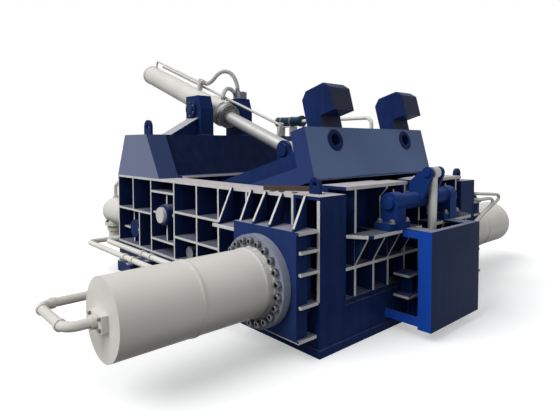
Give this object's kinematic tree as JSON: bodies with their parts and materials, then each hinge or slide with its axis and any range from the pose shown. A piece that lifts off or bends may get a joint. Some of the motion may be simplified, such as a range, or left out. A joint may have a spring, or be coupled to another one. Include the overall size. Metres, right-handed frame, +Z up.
{
  "type": "recycling baler",
  "caption": "Hydraulic scrap metal baler: ribbed box with a raised hinged lid, wide main ram, opposed press rams and a turn-out cradle.",
  "frame": {"origin": "middle of the base's footprint, on the ground", "axes": "+X towards the front (discharge) side, +Y towards the far press cylinder, +Z up"},
  "size_m": [5.691, 5.8498, 2.9763],
  "materials": {
    "blue_paint": "satin royal-navy enamel, thin at edges",
    "grey_paint": "satin warm light grey enamel",
    "wear_steel": "worn mill steel",
    "flange_steel": "primed pale blue-grey",
    "screw_steel": "dark phosphated",
    "rod_chrome": "ground and plated",
    "teal_paint": "gloss enamel",
    "rusty_steel": "rusted",
    "hose_rubber": "matt"
  },
  "bodies": {
    "frame": {"base_frame": "blue_paint", "bearing_shelf": "blue_paint", "bulkhead_pin_covers": "blue_paint", "chamber_floor": "wear_steel", "chamber_wear_plates": "wear_steel", "far_bearing": "blue_paint", "far_cylinder_flange": "flange_steel", "far_cylinder_mount": "blue_paint", "far_cylinder_pipe": "grey_paint", "far_main_cylinder": "grey_paint", "far_post": "blue_paint", "far_press_cylinder": "grey_paint", "far_side_wall": "blue_paint", "filter_bracket": "blue_paint", "filter_pipe": "grey_paint", "front_wall": "blue_paint", "guard_box": "blue_paint", "hinge_caps": "grey_paint", "hose_manifold": "screw_steel", "lid_hoses": "hose_rubber", "lift_foot": "blue_paint", "lifting_eyes": "blue_paint", "lock_handle": "rusty_steel", "main_cylinder_flanges": "flange_steel", "near_bearing": "blue_paint", "near_cylinder_flange": "flange_steel", "near_cylinder_mount": "blue_paint", "near_cylinder_pipe": "grey_paint", "near_main_cylinder": "grey_paint", "near_post": "blue_paint", "near_press_cylinder": "grey_paint", "near_side_wall": "blue_paint", "pipe_block": "blue_paint", "portal_frame": "blue_paint", "press_flange_screws": "screw_steel", "ram_hood": "blue_paint", "rear_bulkhead": "blue_paint", "rear_pipe": "grey_paint", "return_filter": "teal_paint", "supply_pipes": "grey_paint", "trunnion_covers": "blue_paint"},
    "lid": {"lid_body": "blue_paint", "lid_hooks": "blue_paint", "lid_shaft": "rod_chrome", "lid_clevis": "blue_paint"},
    "lid_thruster": {"lid_cylinder": "grey_paint", "lid_gland": "screw_steel", "lid_barrel_line": "grey_paint"},
    "lid_plunger": {"lid_rod": "rod_chrome", "lid_pin": "rod_chrome", "stroke_rod": "rod_chrome"},
    "main_pusher": {"main_ram": "wear_steel", "main_rods": "rod_chrome"},
    "near_pusher": {"near_press_ram": "wear_steel"},
    "far_pusher": {"far_press_ram": "wear_steel"},
    "ejector": {"turn_out_shaft": "blue_paint", "cradle": "wear_steel"},
    "ejector_thruster": {"lift_barrel": "grey_paint"},
    "ejector_plunger": {"lift_rod": "rod_chrome", "lift_pin": "rod_chrome"}
  },
  "joints": [
    {"name": "lid_hinge", "type": "hinge", "parent": "frame", "child": "lid", "pos_m": [-0.56, 0, 0.815], "axis": [0, -1, 0], "range_deg": [-15.5, 40]},
    {"name": "lid_thruster_swing", "type": "hinge", "parent": "frame", "child": "lid_thruster", "pos_m": [-1.29, 0, 2.06], "axis": [0, -1, 0], "range_deg": [-4, 9], "deforming": ["lid_hoses"]},
    {"name": "lid_plunger_slide", "type": "slide", "parent": "lid_thruster", "child": "lid_plunger", "axis": [0.94, 0, -0.3412], "range_m": [-0.7, 0.28]},
    {"name": "main_ram_slide", "type": "slide", "parent": "frame", "child": "main_pusher", "axis": [1, 0, 0], "range_m": [0, 1.48]},
    {"name": "near_ram_slide", "type": "slide", "parent": "frame", "child": "near_pusher", "axis": [0, 1, 0], "range_m": [0, 0.675]},
    {"name": "far_ram_slide", "type": "slide", "parent": "frame", "child": "far_pusher", "axis": [0, -1, 0], "range_m": [0, 0.675]},
    {"name": "turn_out_hinge", "type": "hinge", "parent": "frame", "child": "ejector", "pos_m": [1.875, 0, 1.105], "axis": [0, 1, 0], "range_deg": [0, 40]},
    {"name": "lift_cylinder_swing", "type": "hinge", "parent": "frame", "child": "ejector_thruster", "pos_m": [1.975, 0, 0.13], "axis": [0, 1, 0], "range_deg": [0, 7]},
    {"name": "lift_rod_slide", "type": "slide", "parent": "ejector_thruster", "child": "ejector_plunger", "axis": [0.014, 0, 0.9999], "range_m": [-0.13, 0]}
  ],
  "couplings": [
    {"joint": "lid_thruster_swing", "follows": "lid_hinge", "ratio": 0.2},
    {"joint": "lid_plunger_slide", "follows": "lid_hinge", "m_per_rad": -0.963},
    {"joint": "lift_cylinder_swing", "follows": "turn_out_hinge", "ratio": 0.169},
    {"joint": "lift_rod_slide", "follows": "turn_out_hinge", "m_per_rad": -0.1748}
  ]
}
